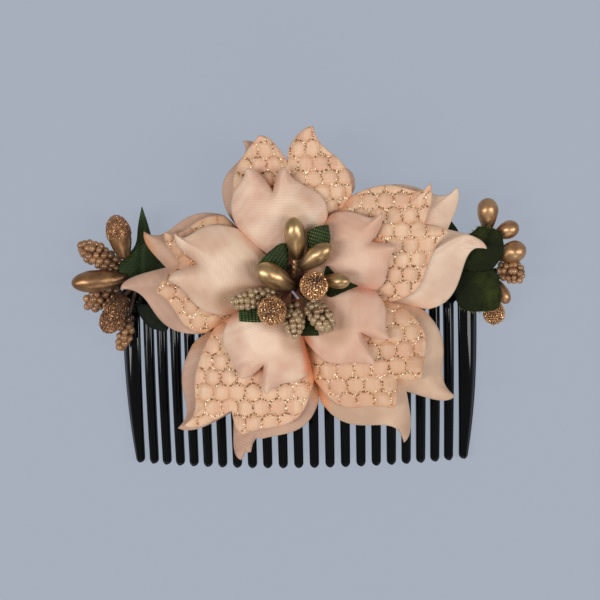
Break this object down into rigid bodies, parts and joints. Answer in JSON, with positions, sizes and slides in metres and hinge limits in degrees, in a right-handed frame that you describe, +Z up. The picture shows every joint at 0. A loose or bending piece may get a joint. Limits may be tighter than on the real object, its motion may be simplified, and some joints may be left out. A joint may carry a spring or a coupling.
{
  "type": "floral hair comb",
  "caption": "Curved plastic side comb with a layered satin flower over its spine and a spray of buds and leaves at each end.",
  "frame": {"origin": "middle of the whole piece's box, on the surface that the comb lies on", "axes": "+X along the comb's width, +Z up out of the flower, -Y towards the teeth's tips"},
  "size_m": [0.1218, 0.0906, 0.0401],
  "materials": {
    "comb_plastic": "glossy black moulding",
    "felt": "plain felt",
    "satin_back": "satin, tan in the shade",
    "satin_lattice": "satin with a glittered lattice",
    "satin_front": "pale peach satin",
    "gold_paint": "satin old-gold paint",
    "glitter": "coarse bronze glitter",
    "seed_beads": "clustered seeds with a dull gilt",
    "stem_wire": "thread-wound wire",
    "green_ribbon": "ribbed green ribbon",
    "green_satin": "smooth green satin"
  },
  "bodies": {
    "root": {"comb": "comb_plastic", "base_pad": "felt", "petal_top_back": "satin_back", "petal_top_mid": "satin_lattice", "petal_top_front": "satin_front", "petal_right_back": "satin_back", "petal_right_mid": "satin_lattice", "petal_right_front": "satin_front", "petal_lower_right_back": "satin_back", "petal_lower_right_mid": "satin_lattice", "petal_lower_right_front": "satin_front", "petal_lower_left_back": "satin_back", "petal_lower_left_mid": "satin_lattice", "petal_lower_left_front": "satin_front", "petal_left_back": "satin_back", "petal_left_mid": "satin_lattice", "petal_left_front": "satin_front", "gold_bud_upper": "gold_paint", "gold_bud_left": "gold_paint", "gold_bud_right": "gold_paint", "gold_bud_side": "gold_paint", "left_gold_bud": "gold_paint", "right_gold_bud_top": "gold_paint", "right_gold_bud_upper": "gold_paint", "right_gold_bud_middle": "gold_paint", "right_gold_bud_lower": "gold_paint", "glitter_bud_right": "glitter", "glitter_bud_left": "glitter", "left_capped_bud": "glitter", "left_glitter_bud": "glitter", "right_glitter_bud": "glitter", "beaded_bud_left": "seed_beads", "beaded_bud_lower": "seed_beads", "beaded_bud_right": "seed_beads", "left_beaded_bud_upper": "seed_beads", "left_beaded_bud_lower": "seed_beads", "left_beaded_bud_end": "seed_beads", "right_beaded_bud": "seed_beads", "centre_stems": "stem_wire", "left_stems": "stem_wire", "right_stems": "stem_wire", "centre_leaf_left": "green_ribbon", "centre_ribbon_right": "green_ribbon", "centre_ribbon_left": "green_ribbon", "centre_leaf_lower": "green_ribbon", "centre_leaf_right": "green_ribbon", "right_leaf_upper": "green_ribbon", "right_leaf_lower": "green_ribbon", "right_leaf_back": "green_ribbon", "left_leaf_lower": "green_ribbon", "left_leaf_upper": "green_satin"}
  },
  "joints": []
}
